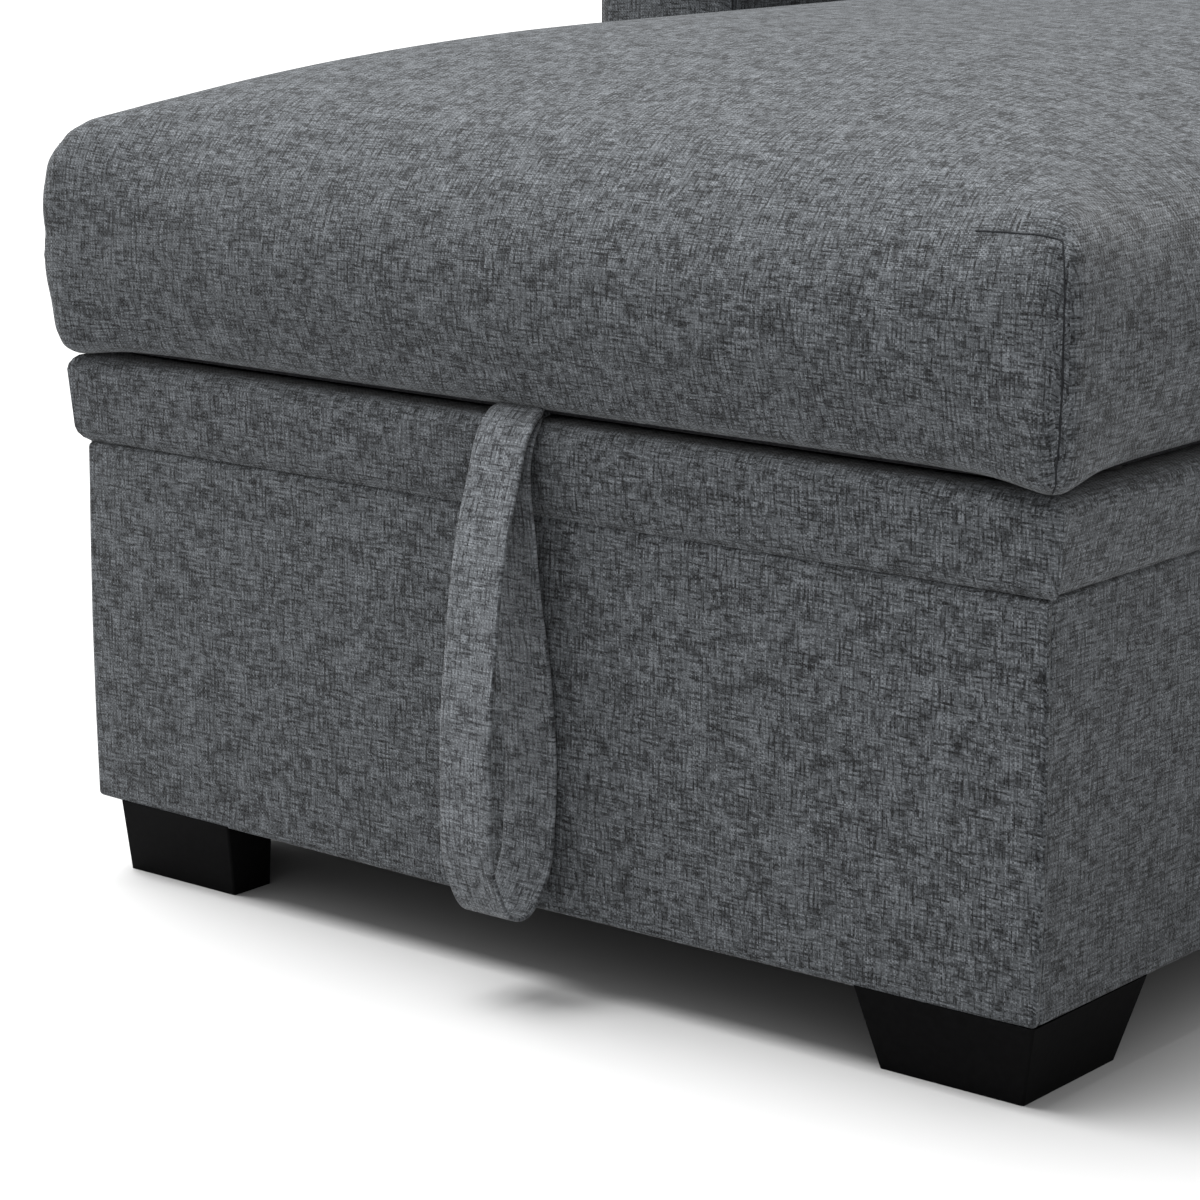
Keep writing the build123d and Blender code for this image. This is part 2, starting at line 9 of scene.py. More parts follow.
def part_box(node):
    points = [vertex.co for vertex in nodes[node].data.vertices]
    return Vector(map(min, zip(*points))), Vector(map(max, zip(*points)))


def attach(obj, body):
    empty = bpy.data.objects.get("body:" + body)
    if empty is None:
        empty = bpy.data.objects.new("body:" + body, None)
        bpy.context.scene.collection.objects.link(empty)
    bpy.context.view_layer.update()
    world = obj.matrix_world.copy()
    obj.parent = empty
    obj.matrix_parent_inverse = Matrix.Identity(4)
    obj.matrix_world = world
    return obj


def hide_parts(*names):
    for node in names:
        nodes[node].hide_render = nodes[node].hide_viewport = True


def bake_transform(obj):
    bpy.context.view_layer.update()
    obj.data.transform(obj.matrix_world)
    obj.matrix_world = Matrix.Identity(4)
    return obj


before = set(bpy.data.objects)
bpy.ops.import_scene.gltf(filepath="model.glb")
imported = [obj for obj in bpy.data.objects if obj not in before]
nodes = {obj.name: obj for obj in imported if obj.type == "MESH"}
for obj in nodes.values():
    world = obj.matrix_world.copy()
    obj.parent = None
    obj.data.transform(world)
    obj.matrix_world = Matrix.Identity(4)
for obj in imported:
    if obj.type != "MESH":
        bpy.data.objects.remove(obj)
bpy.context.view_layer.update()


# Camera: stands to the right of the foot end, a little above the seat, and looks down at the corner.
# Its place, from the middle of the foot end at the floor, comes from the lines of the base and its rim.
scene = bpy.context.scene
camera_from_foot = Vector((1.2755, -1.5019, 0.6793))
camera_azimuth = radians(39.01)
camera_drop = radians(13.08)
camera_lens = 109.96
camera_film = 36.0


def corners(node):
    """The low and the high corner of a node's box in the frame."""
    return [Vector(corner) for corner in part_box(node)]


front_lo, front_hi = corners("front_cover")
foot_end = Vector(((front_lo.x + front_hi.x) / 2, front_lo.y, 0))
camera = bpy.data.objects.new("camera", bpy.data.cameras.new("camera"))
camera.data.lens = camera_lens
camera.data.sensor_width = camera_film
camera.location = foot_end + camera_from_foot
camera.rotation_euler = (pi / 2 - camera_drop, 0, camera_azimuth)
scene.collection.objects.link(camera)
scene.camera = camera


# Floor and light: a pale matte studio floor that the chaise stands on, a dim even sky,
# and one wide soft light from above and the left. They belong to the stage.
floor_half = 40
floor_grey = (0.5, 0.5, 0.5, 1)
sky_white = (1.0, 1.0, 1.0, 1)
sky_strength = 0.6
light_strength = 7.0
light_spread = radians(50)
light_way = Vector((0.33, 0.04, -0.94))


def add(tree, kind, values=None, **settings):
    """A shader node with its settings, and its inputs linked or filled."""
    made = tree.nodes.new(kind)
    for key, value in settings.items():
        setattr(made, key, value)
    for key, value in (values or {}).items():
        if isinstance(value, bpy.types.NodeSocket):
            tree.links.new(value, made.inputs[key])
        else:
            made.inputs[key].default_value = value
    return made


def finish_named(name, roughness, metallic=0.0, specular=0.5):
    """A material with its shader, ready for its pattern."""
    made = bpy.data.materials.new(name)
    made.use_nodes = True
    shader = made.node_tree.nodes["Principled BSDF"]
    shader.inputs["Roughness"].default_value = roughness
    shader.inputs["Metallic"].default_value = metallic
    shader.inputs["Specular IOR Level"].default_value = specular
    return made, made.node_tree, shader


floor_paint, tree, shader = finish_named("floor_paint", roughness=0.9, specular=0.0)
shader.inputs["Base Color"].default_value = floor_grey
bm = bmesh.new()
bmesh.ops.create_grid(bm, x_segments=1, y_segments=1, size=floor_half)
floor_mesh = bpy.data.meshes.new("studio_floor")
bm.to_mesh(floor_mesh)
bm.free()
floor_mesh.materials.append(floor_paint)
studio_floor = bpy.data.objects.new("studio_floor", floor_mesh)
scene.collection.objects.link(studio_floor)

world = bpy.data.worlds.new("studio")
world.use_nodes = True
sky = world.node_tree.nodes["Background"]
sky.inputs["Color"].default_value = sky_white
sky.inputs["Strength"].default_value = sky_strength
scene.world = world
key_light = bpy.data.objects.new("key_light", bpy.data.lights.new("key_light", "SUN"))
key_light.data.energy = light_strength
key_light.data.angle = light_spread
key_light.rotation_euler = light_way.to_track_quat("-Z", "Y").to_euler()
scene.collection.objects.link(key_light)
scene.view_settings.view_transform = "Standard"


# Cover cloth: a dark grey linen-look plain weave of mixed threads, flecked with short dark slubs both ways.
# The pattern lies on the piece's own map, in metres, so the threads run true on every panel.
thread_pitch = 0.0013
thread_streaks = 70
thread_shade = 0.30
slub_fine, slub_long = 520, 105
slub_clusters = (45, 60)
slub_crowding = 0.3
slub_start, slub_full = 0.68, 0.80
slub_shade = 0.46
middle_tone = 0.6
rear_slope, under_slope = 0.45, 0.05
cloth_dark = (0.0060, 0.0064, 0.0070, 1)
cloth_middle = (0.0620, 0.0670, 0.0725, 1)
cloth_pale = (0.1650, 0.1770, 0.1900, 1)


def reckoned(tree, operation, *terms):
    """One sum in a finish, such as a product or the greater of two values."""
    return add(tree, "ShaderNodeMath", dict(enumerate(terms)), operation=operation).outputs[0]


def stretched(tree, value, low, high, to_low, to_high):
    """A value brought from one range to another and held inside it."""
    return add(tree, "ShaderNodeMapRange", {0: value, 1: low, 2: high, 3: to_low, 4: to_high}).outputs[0]


def toned(tree, shader, pattern, low, high):
    """Colours a finish by its pattern, and gives the tones for changes."""
    tones = add(tree, "ShaderNodeValToRGB", {"Fac": pattern})
    tones.color_ramp.elements[0].color = low
    tones.color_ramp.elements[1].color = high
    tree.links.new(tones.outputs[0], shader.inputs["Base Color"])
    return tones.color_ramp.elements


def raised(tree, shader, pattern, strength, depth):
    """Gives a finish the relief of its pattern, depth in metres."""
    bump = add(tree, "ShaderNodeBump", {"Height": pattern, "Strength": strength, "Distance": depth})
    tree.links.new(bump.outputs[0], shader.inputs["Normal"])


def mottled(tree, laid, scale, detail):
    """Noise on the cloth's map, stretched by scale = cells a metre each way."""
    placed = add(tree, "ShaderNodeMapping", {"Vector": laid, "Scale": (scale[0], scale[1], 1)})
    values = {"Vector": placed.outputs[0], "Scale": 1.0, "Detail": detail, "Roughness": 0.6}
    return add(tree, "ShaderNodeTexNoise", values, noise_dimensions="2D").outputs[0]


def slubs(tree, laid, scale, clusters):
    """Short dark flecks along one thread direction, thicker where the clusters are."""
    fleck = mottled(tree, laid, scale, detail=2.0)
    crowded = reckoned(tree, "MULTIPLY_ADD", clusters, slub_crowding, fleck)
    return stretched(tree, crowded, low=slub_start, high=slub_full, to_low=0.0, to_high=1.0)


def woven_cloth(name, dark, middle, pale):
    """Plain weave: warp and weft tones swap in a checker, under dark slubs both ways."""
    made, tree, shader = finish_named(name, roughness=0.9, specular=0.15)
    shader.inputs["Sheen Weight"].default_value = 0.13
    shader.inputs["Sheen Roughness"].default_value = 0.5
    laid = add(tree, "ShaderNodeUVMap", uv_map="weave").outputs[0]
    threads = 1 / thread_pitch
    warp = mottled(tree, laid, (threads, thread_streaks), detail=1.0)
    weft = mottled(tree, laid, (thread_streaks, threads), detail=1.0)
    over = add(tree, "ShaderNodeTexChecker", {"Vector": laid, "Scale": threads}).outputs[1]
    thread = add(tree, "ShaderNodeMix", {"Factor": over, "A": warp, "B": weft}).outputs[0]
    clusters = mottled(tree, laid, slub_clusters, detail=2.0)
    slub_up = slubs(tree, laid, (slub_fine, slub_long), clusters)
    slub_across = slubs(tree, laid, (slub_long, slub_fine), clusters)
    slub = reckoned(tree, "MAXIMUM", slub_up, slub_across)
    light = stretched(tree, thread, low=0.25, high=0.75, to_low=thread_shade, to_high=1.0)
    tone = reckoned(tree, "MULTIPLY_ADD", slub, -slub_shade, light)
    toned(tree, shader, tone, dark, pale).new(middle_tone).color = middle
    # A wave pattern of scale 1 turns through 20 radians in a metre.
    ridge = 2 * pi / (20 * thread_pitch)
    ribs = add(tree, "ShaderNodeTexWave", {"Vector": laid, "Scale": ridge}, bands_direction="X").outputs[1]
    rows = add(tree, "ShaderNodeTexWave", {"Vector": laid, "Scale": ridge}, bands_direction="Y").outputs[1]
    relief = add(tree, "ShaderNodeMix", {"Factor": over, "A": ribs, "B": rows}).outputs[0]
    raised(tree, shader, reckoned(tree, "ADD", tone, relief), strength=0.35, depth=0.0008)
    return made


def lay_weave(mesh):
    """Lays the cloth's map in metres: sides by length and height, the rest by width and run to the front.

    The run turns round where a face slopes down to the rear, or under at the front.
    """
    layer = mesh.uv_layers.new(name="weave")
    for face in mesh.polygons:
        sideways = abs(face.normal.x) > max(abs(face.normal.y), abs(face.normal.z))
        slope = rear_slope if face.normal.z > 0 else under_slope
        turn = -1 if face.normal.y * face.normal.z > slope else 1
        for corner in face.loop_indices:
            place = mesh.vertices[mesh.loops[corner].vertex_index].co
            layer.data[corner].uv = (place.y, place.z) if sideways else (place.x, place.y + turn * place.z)


def add_piece(name, bm, material):
    """A finished mesh as an object at the origin."""
    mesh = bpy.data.meshes.new(name)
    bm.to_mesh(mesh)
    bm.free()
    mesh.materials.append(material)
    for face in mesh.polygons:
        face.use_smooth = True
    piece = bpy.data.objects.new(name, mesh)
    scene.collection.objects.link(piece)
    return piece


def upholster(piece, node, body):
    """Lays the weave on a padded piece, hides the node it takes the place of and joins it to its body."""
    lay_weave(piece.data)
    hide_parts(node)
    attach(piece, body)


cover_cloth = woven_cloth("cover_cloth", cloth_dark, cloth_middle, cloth_pale)


# Covers of the box: padded cloth over the front and the two sides, sewn together down the corners.
# Each panel is a thin pad with rolled edges, a little full in the middle.
# Its top edge is tucked in behind the rim band.
cover_roll = 0.0028
cover_fullness = 0.0022
cover_ripple = 0.5
tucked_in = 0.012
tuck_back = 0.0035
row_step = 0.045
fullness_spread = 0.6
ripple_cells = 9


def cut_in_rows(bm, lo, hi):
    """Cuts a shape into rows each way, so that its faces can swell."""
    for axis in range(3):
        along = Vector((axis == 0, axis == 1, axis == 2))
        rows = int((hi - lo)[axis] / row_step)
        for row in range(1, rows):
            spot = lo + along * ((hi - lo)[axis] * row / rows)
            parts = bm.verts[:] + bm.edges[:] + bm.faces[:]
            bmesh.ops.bisect_plane(bm, geom=parts, plane_co=spot, plane_no=along)


def add_block(bm, lo, hi):
    """A plain block between two corners."""
    size = hi - lo
    place = Matrix.Translation((lo + hi) / 2) @ Matrix.Diagonal((size.x, size.y, size.z, 1))
    bmesh.ops.create_cube(bm, size=1, matrix=place)


def roll_edges(bm, roll):
    """Rounds every edge of a shape, as cloth drawn over wadding does."""
    edges = bm.edges[:]
    bmesh.ops.bevel(bm, geom=edges, offset=roll, segments=4, profile=0.5, affect="EDGES", material=-1)


def padded_board(lo, hi, roll):
    """A board between two corners with rolled edges, cut into rows."""
    bm = bmesh.new()
    add_block(bm, lo, hi)
    roll_edges(bm, roll)
    cut_in_rows(bm, lo, hi)
    return bm


def swell(bm, lo, hi, fullness, ripple):
    """Pushes each face of a board out where it is free, most in its middle, with slow uneven ripples."""
    bm.normal_update()
    size = hi - lo
    moves = {}
    for vert in bm.verts:
        shares = [(vert.co[axis] - lo[axis]) / size[axis] for axis in range(3)]
        free = [max(0.0, 4 * share * (1 - share)) ** fullness_spread for share in shares]
        normal = vert.normal
        push = abs(normal.x) * free[1] * free[2]
        push += abs(normal.y) * free[0] * free[2]
        push += abs(normal.z) * free[0] * free[1]
        uneven = 1 + ripple * noise.noise(vert.co * ripple_cells)
        moves[vert] = normal * (fullness * push * uneven)
    for vert, move in moves.items():
        vert.co += move


for cover, low_in, high_in in (
    ("front_cover", (0, tuck_back, 0), (0, 0, 0)),
    ("left_cover", (tuck_back, 0, 0), (0, 0, 0)),
    ("right_cover", (0, 0, 0), (-tuck_back, 0, 0)),
):
    lo, hi = corners(cover)
    bm = padded_board(lo, hi, cover_roll)
    swell(bm, lo, hi, cover_fullness, cover_ripple)
    tuck_up = Vector((0, 0, tucked_in))
    add_block(bm, lo + Vector(low_in) + tuck_up, hi + Vector(high_in) + tuck_up)
    upholster(add_piece(cover + "_cloth", bm, cover_cloth), cover, "base")


# Rim band: a padded roll of the same cloth round the top of the box, mitred and sewn at the front corners.
# It stands proud of the covers and hides the top edges of the panels.
band_roll = 0.009
band_fullness = 0.0036
band_ripple = 0.7
band_crown = 0.0008
past_mitre = 0.016
rim_lo, rim_hi = corners("front_band")
side_lo, side_hi = corners("left_band")
rim_depth = rim_hi.y - rim_lo.y
rim_width = side_hi.x - side_lo.x
band_front = front_lo.y - rim_lo.y
band_side = rim_hi.x - front_hi.x
for band, side in (("front_band", 0), ("left_band", -1), ("right_band", 1)):
    lo, hi = corners(band)
    if side == 0:
        lo.x -= past_mitre
        hi.x += past_mitre
    else:
        lo.y -= past_mitre
    bm = padded_board(lo, hi, band_roll)
    swell(bm, lo, hi, band_fullness, band_ripple)
    for vert in bm.verts:
        vert.co.z = min(vert.co.z, hi.z + band_crown)
        low = min(1.0, 1 - (vert.co.z - lo.z) / (hi.z - lo.z))
        if side == 0:
            outer = max(0.0, (hi.y - vert.co.y) / (hi.y - lo.y))
            vert.co.y += band_front * low ** 2 * outer
        else:
            inner_x = lo.x if side > 0 else hi.x
            outer = max(0.0, side * (vert.co.x - inner_x) / (hi.x - lo.x))
            vert.co.x -= side * band_side * low ** 2 * outer
    for end in (-1, 1):
        corner = Vector((rim_lo.x if end < 0 else rim_hi.x, rim_lo.y, 0))
        mitre = Vector((end * rim_depth, rim_width, 0)) * (1 if side == 0 else -1)
        if side in (0, end):
            parts = bm.verts[:] + bm.edges[:] + bm.faces[:]
            cut = bmesh.ops.bisect_plane(bm, geom=parts, plane_co=corner, plane_no=mitre, clear_outer=True)
            for part in cut["geom_cut"]:
                if isinstance(part, bmesh.types.BMEdge):
                    part.smooth = False
            bmesh.ops.holes_fill(bm, edges=bm.edges[:], sides=0)
    upholster(add_piece(band + "_cloth", bm, cover_cloth), band, "base")


def speckled(tree, scale, detail=2.0):
    """Fine noise fixed to the piece, scale = cells a metre."""
    where = add(tree, "ShaderNodeTexCoord").outputs["Object"]
    return add(tree, "ShaderNodeTexNoise", {"Vector": where, "Scale": scale, "Detail": detail}).outputs[0]


def dress(material, *names):
    """Gives CAD nodes their finish."""
    for name in names:
        nodes[name].data.materials.clear()
        nodes[name].data.materials.append(material)


foot_lacquer, tree, shader = finish_named("foot_lacquer", roughness=0.5, specular=0.02)
grain = speckled(tree, scale=260.0, detail=3.0)
toned(tree, shader, grain, (0.0015, 0.0015, 0.0016, 1), (0.0050, 0.0050, 0.0053, 1))
raised(tree, shader, grain, strength=0.15, depth=0.0004)
dress(foot_lacquer, "foot_front_left", "foot_front_right", "foot_rear_left", "foot_rear_right", "arm_feet")


# Seat cushion: foam in a boxed cloth cover on the lid board, its long top crowned and its front rolled.
# The foam fills the cover tight, so it is blown up over its shape and held where it is sewn or stapled.
# The cover is sewn up the front corners, with a short pleat at the head of each seam.
seat_voxel = 0.008
seat_shrink = 0.002
seat_pressure = 4.0
seat_growth = 0.006
seat_firm = 0.045
blow_frames = 6
merge_gap = 0.00002
pocket_margin = 0.003
side_slack = 0.0015
board_clear = 0.0005
wrap_under = 0.050
wrap_height = 0.030
wrap_drop = 0.0014
seam_hold = 0.07
seam_reach = 0.11
seam_head = 0.124
seam_rises = (-0.008, 0.035, 0.065, 0.095, seam_head)
seam_width = 0.012
seam_depth = 0.0018
seam_spots = 6
stitch_step = 0.006
seat_thread = 0.0005
corner_full = 0.0075
full_always, full_at_head, full_at_foot = 0.3, 0.7, 0.9
head_span = 0.055
foot_span = 0.080
crown_fade = 0.03
corner_droop = 0.0130
droop_reach = 0.065
pleat_length = 0.055
pleat_rise = 0.003
pleat_front = 0.002


def settle(piece):
    """Makes a piece's modifiers part of its mesh."""
    shape = piece.evaluated_get(bpy.context.evaluated_depsgraph_get())
    mesh = bpy.data.meshes.new_from_object(shape)
    piece.modifiers.clear()
    piece.data = mesh


def blow_up(piece, shrink, pressure, growth, freedom):
    """Lets the cover swell under pressure from a slightly smaller shape, then holds it to its limits."""
    rest = [vert.co.copy() for vert in piece.data.vertices]
    normals = [vert.normal.copy() for vert in piece.data.vertices]
    for vert, normal in zip(piece.data.vertices, normals):
        vert.co -= normal * shrink
    before = [vert.co.copy() for vert in piece.data.vertices]
    blown = piece.modifiers.new("blown", "CLOTH")
    blown.settings.quality = 3
    blown.settings.mass = 0.3
    blown.settings.tension_stiffness = 15
    blown.settings.compression_stiffness = 15
    blown.settings.bending_stiffness = 0.5
    blown.settings.use_pressure = True
    blown.settings.uniform_pressure_force = pressure
    blown.settings.effector_weights.gravity = 0
    blown.point_cache.frame_start = 1
    blown.point_cache.frame_end = blow_frames
    for moment in range(1, blow_frames + 1):
        scene.frame_set(moment)
    settle(piece)
    scene.frame_set(1)
    for vert, start, held in zip(piece.data.vertices, before, rest):
        move = vert.co - start
        if move.length > growth:
            move = move.normalized() * growth
        vert.co = held.lerp(start + move, freedom(held))


def stuffed(shape, name, voxel, shrink, pressure, growth, freedom):
    """A soft shape whose cover is blown up tight over its filling, each point moving by growth at most.

    freedom says for a point how far it may leave its own shape, from 0 where it is held to 1.
    """
    piece = add_piece(name, shape, cover_cloth)
    remesh = piece.modifiers.new("remesh", "REMESH")
    remesh.mode = "VOXEL"
    remesh.voxel_size = voxel
    remesh.use_smooth_shade = True
    settle(piece)
    blow_up(piece, shrink, pressure, growth, freedom)
    finer = piece.modifiers.new("finer", "SUBSURF")
    finer.levels = 1
    finer.render_levels = 1
    settle(piece)
    return piece


def distance_to(spot, route):
    """How far a point is from a route of straight runs."""
    gaps = []
    for near, far in zip(route, route[1:]):
        foot, share = geometry.intersect_point_line(spot, near, far)
        foot = near if share < 0 else far if share > 1 else foot
        gaps.append((spot - foot).length)
    return min(gaps)


def pinch(piece, route, width, depth):
    """Makes the cover finer along a seam and draws it in there."""
    bm = bmesh.new()
    bm.from_mesh(piece.data)
    fine = [edge for edge in bm.edges if all(distance_to(vert.co, route) < width for vert in edge.verts)]
    bmesh.ops.subdivide_edges(bm, edges=fine, cuts=1, use_grid_fill=True, smooth=0.6)
    bm.normal_update()
    moves = {}
    for vert in bm.verts:
        gap = distance_to(vert.co, route)
        if gap < width:
            moves[vert] = vert.normal * (depth * (1 - gap / width) ** 2)
    for vert, move in moves.items():
        vert.co -= move
    bm.to_mesh(piece.data)
    bm.free()
    for face in piece.data.polygons:
        face.use_smooth = True


def mesh_of(line):
    """The mesh that a curve draws."""
    drawn = bpy.data.objects.new(line.name, line)
    scene.collection.objects.link(drawn)
    mesh = bpy.data.meshes.new_from_object(drawn.evaluated_get(bpy.context.evaluated_depsgraph_get()))
    bpy.data.objects.remove(drawn)
    return mesh


# Seam lines: the stitching is real, but its near-black tone is painted shade of the crease along each seam.
seam_shade, tree, shader = finish_named("seam_shade", roughness=0.95, specular=0.1)
stitch_shade_mottle = speckled(tree, scale=400.0)
toned(tree, shader, stitch_shade_mottle, (0.006, 0.006, 0.007, 1), (0.030, 0.032, 0.035, 1))


def seam_thread(name, piece, route, radius, body):
    """A sunk line of stitching laid on a piece's cover along a route, near black as painted shade of the
    seam's crease.
    """
    mesh = piece.data
    skin = BVHTree.FromPolygons([v.co for v in mesh.vertices], [f.vertices[:] for f in mesh.polygons])
    line = bpy.data.curves.new(name, "CURVE")
    line.dimensions = "3D"
    line.bevel_depth = radius
    line.bevel_resolution = 1
    points = []
    for near, far in zip(route, route[1:]):
        steps = max(2, int((far - near).length / stitch_step))
        points += [near.lerp(far, step / steps) for step in range(steps)]
    points.append(route[-1])
    strand = line.splines.new("POLY")
    strand.points.add(len(points) - 1)
    for point, spot in zip(strand.points, points):
        point.co = (*skin.find_nearest(spot)[0], 1)
    tube = mesh_of(line)
    tube.materials.clear()
    tube.materials.append(seam_shade)
    thread = bpy.data.objects.new(name, tube)
    scene.collection.objects.link(thread)
    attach(thread, body)


def soft_copy(node):
    """A copy of a soft node's shape, its triangles merged."""
    shape = bmesh.new()
    shape.from_mesh(nodes[node].data)
    bmesh.ops.remove_doubles(shape, verts=shape.verts[:], dist=merge_gap)
    return shape


seat_lo, seat_hi = corners("seat_cushion")
board_lo, board_hi = corners("lid_board")
front_corners = [Vector((x, seat_lo.y)) for x in (seat_lo.x, seat_hi.x)]


def in_pocket(face):
    """Whether a face lies on the lid board, in the pocket that the cushion has for it."""
    return all(
        board_lo[axis] - pocket_margin < vert.co[axis] < board_hi[axis] + pocket_margin
        for vert in face.verts
        for axis in range(3)
    )


def seat_freedom(spot):
    """The seat's cover is held under the board and by its corner seams."""
    from_seam = min((spot.xy - corner).length for corner in front_corners)
    return max(0.0, min(1.0, (spot.z - seat_lo.z) / seat_firm, from_seam / seam_hold))


shape = soft_copy("seat_cushion")
pocket = [face for face in shape.faces if in_pocket(face)]
bmesh.ops.delete(shape, geom=pocket, context="FACES")
bmesh.ops.holes_fill(shape, edges=shape.edges[:], sides=0)
seat = stuffed(shape, "seat_cloth", seat_voxel, seat_shrink, seat_pressure, seat_growth, seat_freedom)
for vert in seat.data.vertices:
    vert.co.x = max(vert.co.x, seat_lo.x - side_slack)
    from_seam = min((vert.co.xy - corner).length for corner in front_corners)
    from_side = min(vert.co.x - seat_lo.x, seat_hi.x - vert.co.x)
    from_end = min(vert.co.y - seat_lo.y, seat_hi.y - vert.co.y)
    rise = vert.co.z - seat_lo.z
    low = max(0.0, 1 - rise / wrap_height)
    wrapped = max(0.0, 1 - min(from_side, from_end) / wrap_under)
    near_seam = max(0.0, 1 - from_seam / seam_reach)
    near_seam *= near_seam * (3 - 2 * near_seam)
    near_corner = max(0.0, 1 - from_seam / droop_reach)
    at_head = max(0.0, 1 - ((rise - seam_head) / head_span) ** 2)
    at_foot = max(0.0, 1 - rise / foot_span) ** 2
    full = corner_full * (full_always + full_at_head * at_head + full_at_foot * at_foot)
    full *= min(1.0, max(0.0, (seat_hi.z - vert.co.z) / crown_fade))
    out = -1 if vert.co.x < (seat_lo.x + seat_hi.x) / 2 else 1
    vert.co += Vector((out, -1, 0)) * (full * near_seam)
    vert.co.z -= low * (wrap_drop * wrapped ** 0.5 + corner_droop * near_corner ** 1.5)
    if wrapped == 0:
        vert.co.z = max(vert.co.z, seat_lo.z + board_clear)
seams = {}
for end, outward, pleat in (
    ("left", Vector((-1, -0.35, 0)), Vector((0, pleat_length, pleat_rise))),
    ("right", Vector((1, -1, 0)), Vector((-pleat_length, -pleat_front, pleat_rise))),
):
    out_way = outward.normalized()
    side_way = out_way.cross(Vector((0, 0, 1)))
    middles = []
    for rise in seam_rises:
        level = [vert.co for vert in seat.data.vertices if abs(vert.co.z - seat_lo.z - rise) < seat_voxel]
        spots = sorted(level, key=lambda place: place.dot(out_way))[-seam_spots:]
        middles.append(sum(spots, Vector((0, 0, 0))) / len(spots))
    sway = sum(middle.dot(side_way) for middle in middles) / len(middles)
    route = []
    for rise, middle in zip(seam_rises, middles):
        spot = out_way * middle.dot(out_way) + side_way * sway
        route.append(Vector((spot.x, spot.y, seat_lo.z + rise)))
    route.append(route[-1] + pleat)
    seams[end] = route
for route in seams.values():
    pinch(seat, route, seam_width, seam_depth)
for end, route in seams.items():
    seam_thread(f"seat_seam_{end}", seat, route, seat_thread, "lid")
upholster(seat, "seat_cushion", "lid")


# Pull strap: one long strip of the cover cloth, folded and pressed flat, doubled into a loop.
# Its two ends are clamped under the lid board.
# The loop hangs out of the gap over the rim band, a little askew, and is wider where it hangs free.
# Its tones are paler than the cover cloth's: painted light on the hanging strap, which is the same cloth.
strap_dark_painted_light = (0.018, 0.019, 0.021, 1)
strap_middle_painted_light = (0.098, 0.105, 0.113, 1)
strap_pale_painted_light = (0.21, 0.224, 0.24, 1)
strap_thick = 0.0024
strap_skew = 0.012
strap_spread = 0.010
strap_columns = 8
clamp_run = 0.012
strap_cloth = woven_cloth("strap_cloth", strap_dark_painted_light, strap_middle_painted_light, strap_pale_painted_light)
tail_lo, tail_hi = corners("strap_tail")
loop_lo, loop_hi = corners("pull_strap")
strap_width = loop_hi.x - loop_lo.x
strap_mid = (loop_lo.x + loop_hi.x) / 2
loop_depth = loop_hi.y - loop_lo.y
loop_height = loop_hi.z - loop_lo.z
skin = strap_thick / 2
strap_route = [
    Vector((0, tail_hi.y, tail_hi.z - skin)),
    Vector((strap_skew * 0.2, loop_hi.y, tail_hi.z - skin)),
    Vector((strap_skew * 0.35, loop_lo.y + loop_depth * 0.55, loop_hi.z - loop_height * 0.14)),
    Vector((strap_skew * 0.45, loop_lo.y + loop_depth * 0.14, loop_hi.z - loop_height * 0.48)),
    Vector((strap_skew * 0.6, loop_lo.y + skin, loop_lo.z + loop_height * 0.27)),
    Vector((strap_skew * 0.65, loop_lo.y + loop_depth * 0.12, loop_lo.z + loop_height * 0.08)),
    Vector((strap_skew * 0.75, loop_lo.y + loop_depth * 0.48, loop_lo.z + skin)),
    Vector((strap_skew * 0.9, loop_hi.y - loop_depth * 0.20, loop_lo.z + loop_height * 0.05)),
    Vector((strap_skew, loop_hi.y - 0.001, loop_lo.z + loop_height * 0.20)),
    Vector((strap_skew * 0.9, loop_hi.y - 0.002, loop_lo.z + loop_height * 0.45)),
    Vector((strap_skew * 0.4, loop_hi.y - 0.007, loop_hi.z - loop_height * 0.28)),
    Vector((strap_skew * 0.2, loop_hi.y - 0.004, loop_hi.z - 0.010)),
    Vector((0, loop_hi.y + clamp_run, tail_lo.z + skin)),
    Vector((0, tail_hi.y, tail_lo.z + skin)),
]
line = bpy.data.curves.new("strap_line", "CURVE")
line.dimensions = "3D"
line.resolution_u = 12
strand = line.splines.new("BEZIER")
strand.bezier_points.add(len(strap_route) - 1)
for point, spot in zip(strand.bezier_points, strap_route):
    point.co = spot
    point.handle_left_type = "AUTO"
    point.handle_right_type = "AUTO"
bm = bmesh.new()
bm.from_mesh(mesh_of(line))
bm.verts.ensure_lookup_table()
run = [0.0]
for near, far in zip(bm.verts[:], bm.verts[1:]):
    run.append(run[-1] + (far.co - near.co).length)
bmesh.ops.translate(bm, verts=bm.verts[:], vec=(strap_mid - strap_width / 2, 0, 0))
edge = bm.edges[:]
for step in range(strap_columns):
    grown = bmesh.ops.extrude_edge_only(bm, edges=edge)["geom"]
    verts = [part for part in grown if isinstance(part, bmesh.types.BMVert)]
    edges = [part for part in grown if isinstance(part, bmesh.types.BMEdge)]
    edge = [part for part in edges if all(vert in verts for vert in part.verts)]
    bmesh.ops.translate(bm, verts=verts, vec=(strap_width / strap_columns, 0, 0))
for index, vert in enumerate(bm.verts):
    freed = max(0.0, min(1.0, (loop_hi.y - vert.co.y) / clamp_run + 1))
    vert.co.x += (index // len(run) / strap_columns - 0.5) * strap_spread * freed
bmesh.ops.recalc_face_normals(bm, faces=bm.faces[:])
strap = add_piece("pull_strap_cloth", bm, strap_cloth)
layer = strap.data.uv_layers.new(name="weave")
for face in strap.data.polygons:
    for corner in face.loop_indices:
        index = strap.data.loops[corner].vertex_index
        layer.data[corner].uv = (strap.data.vertices[index].co.x, run[index % len(run)])
thick = strap.modifiers.new("thick", "SOLIDIFY")
thick.thickness = strap_thick
